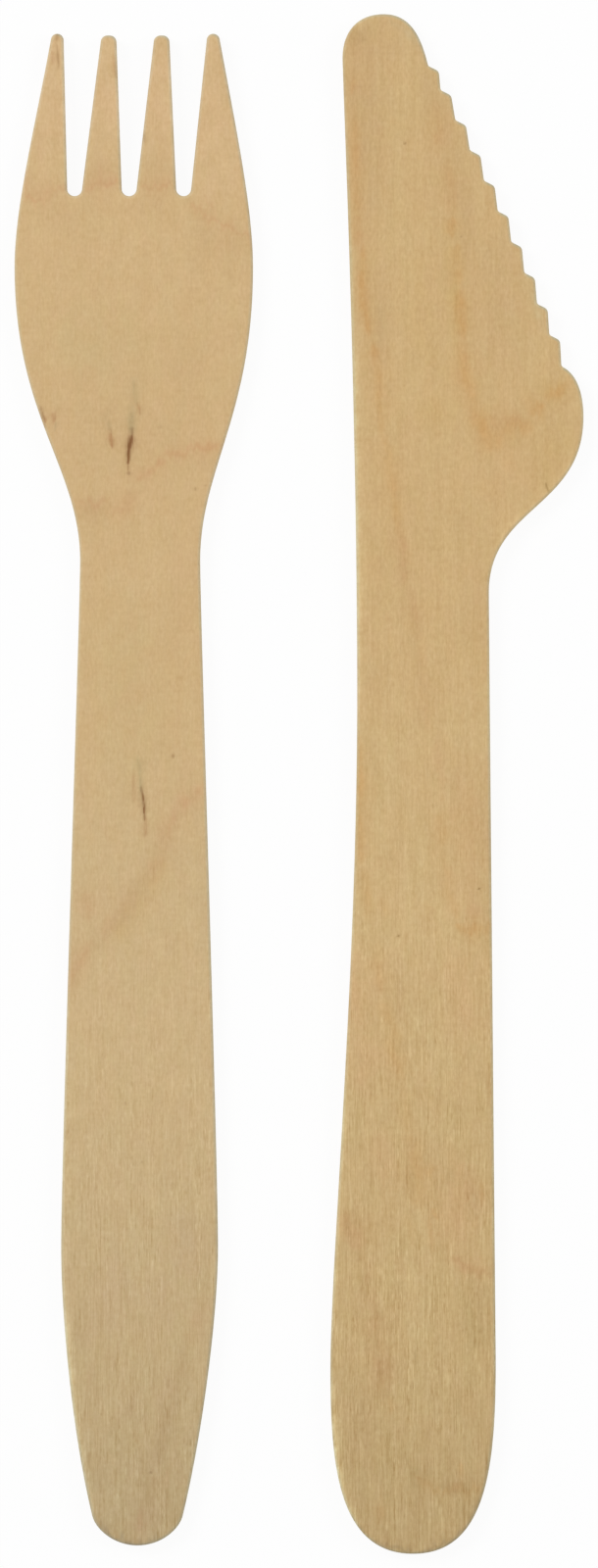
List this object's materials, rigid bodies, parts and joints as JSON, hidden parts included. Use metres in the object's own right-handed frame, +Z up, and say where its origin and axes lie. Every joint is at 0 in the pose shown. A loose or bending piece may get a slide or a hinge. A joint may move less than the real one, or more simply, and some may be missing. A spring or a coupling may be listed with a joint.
{
  "type": "wooden cutlery set",
  "caption": "Flat disposable cutlery in pale birch veneer: a tined fork and a serrated knife, stamped with eased edges, lying side by side for eating.",
  "frame": {"origin": "middle of the set's outline, on the flat undersides that the pieces rest on", "axes": "+Y along the handles towards the tines and the blade's tip, +X from the fork to the knife, +Z up out of the upper faces"},
  "size_m": [0.061, 0.165, 0.0016],
  "materials": {
    "fork_birch": "bare birch veneer, planed and tumbled, matt",
    "knife_birch": "bare birch veneer, planed and tumbled, matt"
  },
  "bodies": {
    "root": {"fork": "fork_birch", "knife": "knife_birch"}
  },
  "joints": []
}
